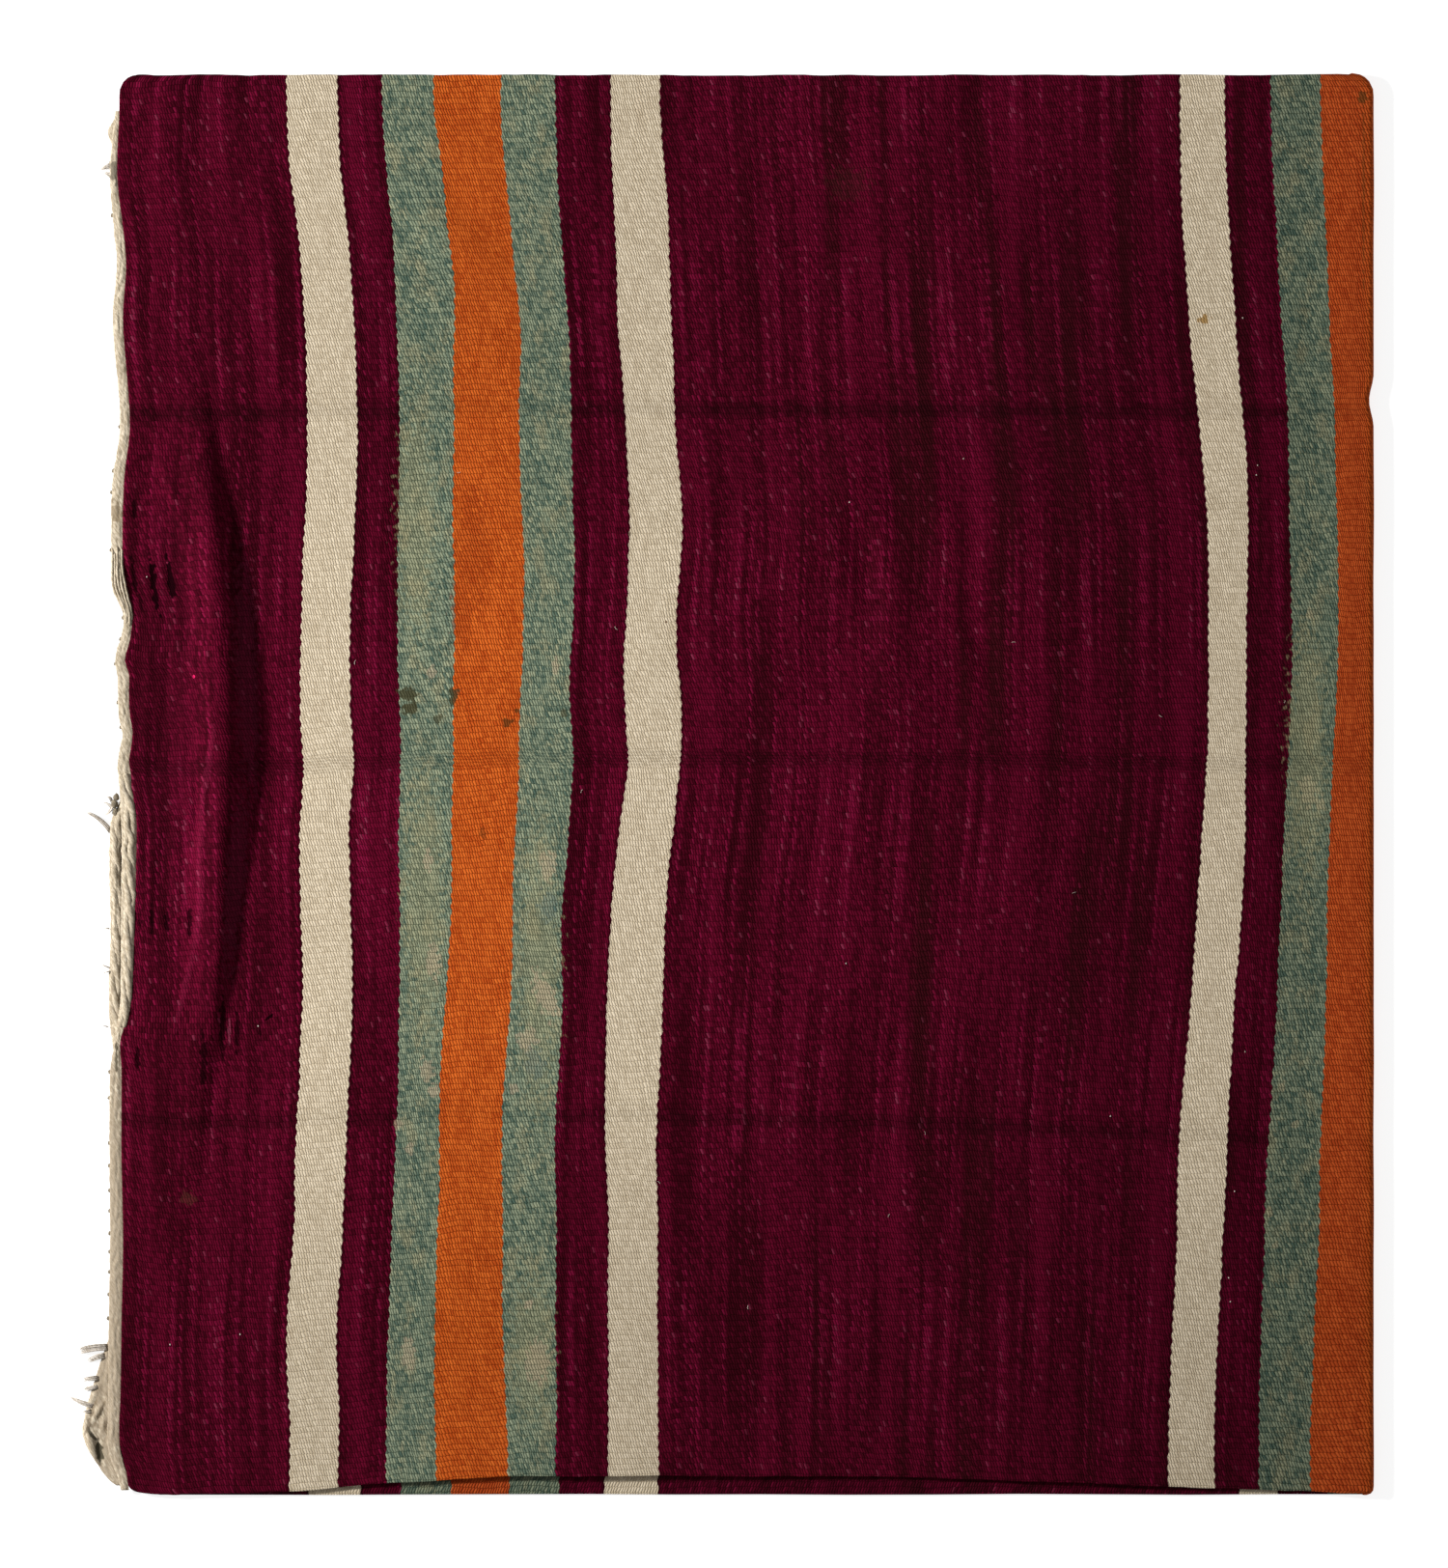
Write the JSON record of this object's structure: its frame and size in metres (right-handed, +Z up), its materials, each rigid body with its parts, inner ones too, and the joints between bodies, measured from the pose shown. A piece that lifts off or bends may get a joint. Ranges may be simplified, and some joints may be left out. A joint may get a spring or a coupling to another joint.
{
  "type": "woven blanket",
  "caption": "Weft-faced striped wool blanket, folded in half and lying flat, with a soft buckle beside its knotted and frayed warp ends.",
  "frame": {"origin": "centre of the blanket's bounding box at its underside, on the surface it lies on", "axes": "+X across the stripes from the warp ends to the fold, +Y along the stripes, +Z up from the surface"},
  "size_m": [1.1498, 1.2576, 0.0254],
  "materials": {
    "striped_wool": "matt weft-faced wool in maroon, natural, teal and orange stripes, lightly worn and stained",
    "natural_wool": "matt undyed wool, coarse, knotted and frayed"
  },
  "bodies": {
    "root": {"panel": "striped_wool", "end_band_upper": "natural_wool", "end_band_lower": "natural_wool"}
  },
  "joints": []
}
